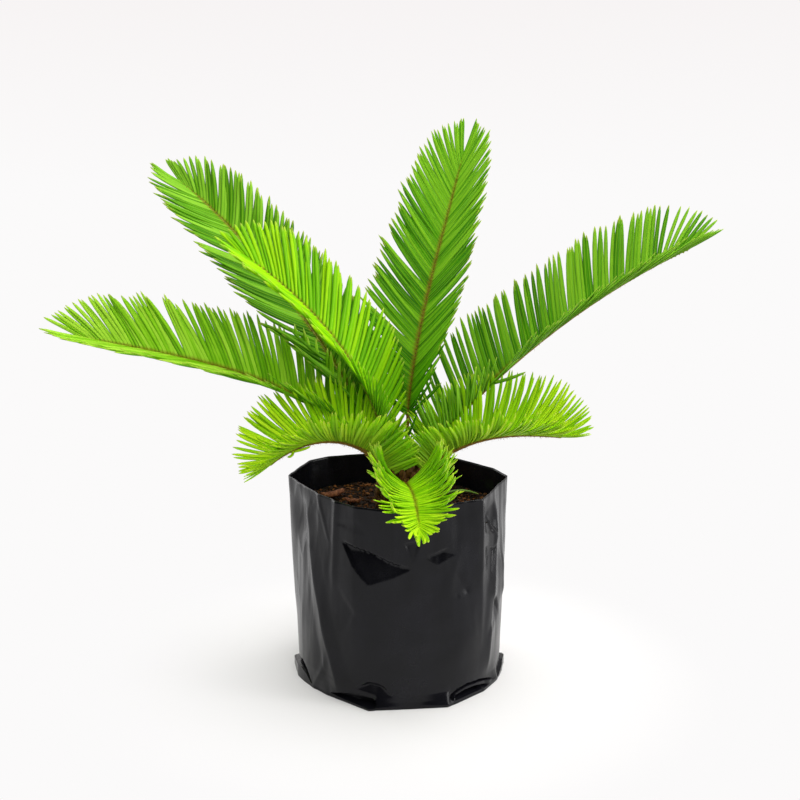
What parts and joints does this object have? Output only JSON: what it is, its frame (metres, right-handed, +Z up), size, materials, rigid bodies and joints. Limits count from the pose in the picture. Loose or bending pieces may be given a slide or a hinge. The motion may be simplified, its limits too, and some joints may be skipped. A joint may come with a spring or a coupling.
{
  "type": "potted sago palm",
  "caption": "Young sago palm with arching feather fronds on a short stem, in soil in a black film nursery bag that stands on its flat base.",
  "frame": {"origin": "centre of the bag's flat base, on the surface it stands on", "axes": "+Z up along the bag's axis, +X to the right in the picture, where the longest frond on that side points, and -Y towards the camera"},
  "size_m": [0.6433, 0.3047, 0.5271],
  "materials": {
    "polythene_film": "glossy black film with soft creases",
    "potting_soil": "matt, granular and dark brown",
    "cycad_bark": "matt, fibrous leaf bases with brown wool",
    "cycad_leaf": "satin, stiff green leaflets",
    "bark_chip": "matt, reddish bark",
    "shed_leaflet": "satin, dull green"
  },
  "bodies": {
    "root": {"nursery_bag": "polythene_film", "soil": "potting_soil", "stem": "cycad_bark", "frond_left_low": "cycad_leaf", "frond_right_low": "cycad_leaf", "frond_front": "cycad_leaf", "frond_left_upper": "cycad_leaf", "frond_left": "cycad_leaf", "frond_right": "cycad_leaf", "frond_upright": "cycad_leaf", "frond_back_left": "cycad_leaf", "bark_chip_1": "bark_chip", "bark_chip_2": "bark_chip", "bark_chip_3": "bark_chip", "bark_chip_4": "bark_chip", "bark_chip_5": "bark_chip", "bark_chip_6": "bark_chip", "fallen_leaflet": "shed_leaflet"}
  },
  "joints": []
}
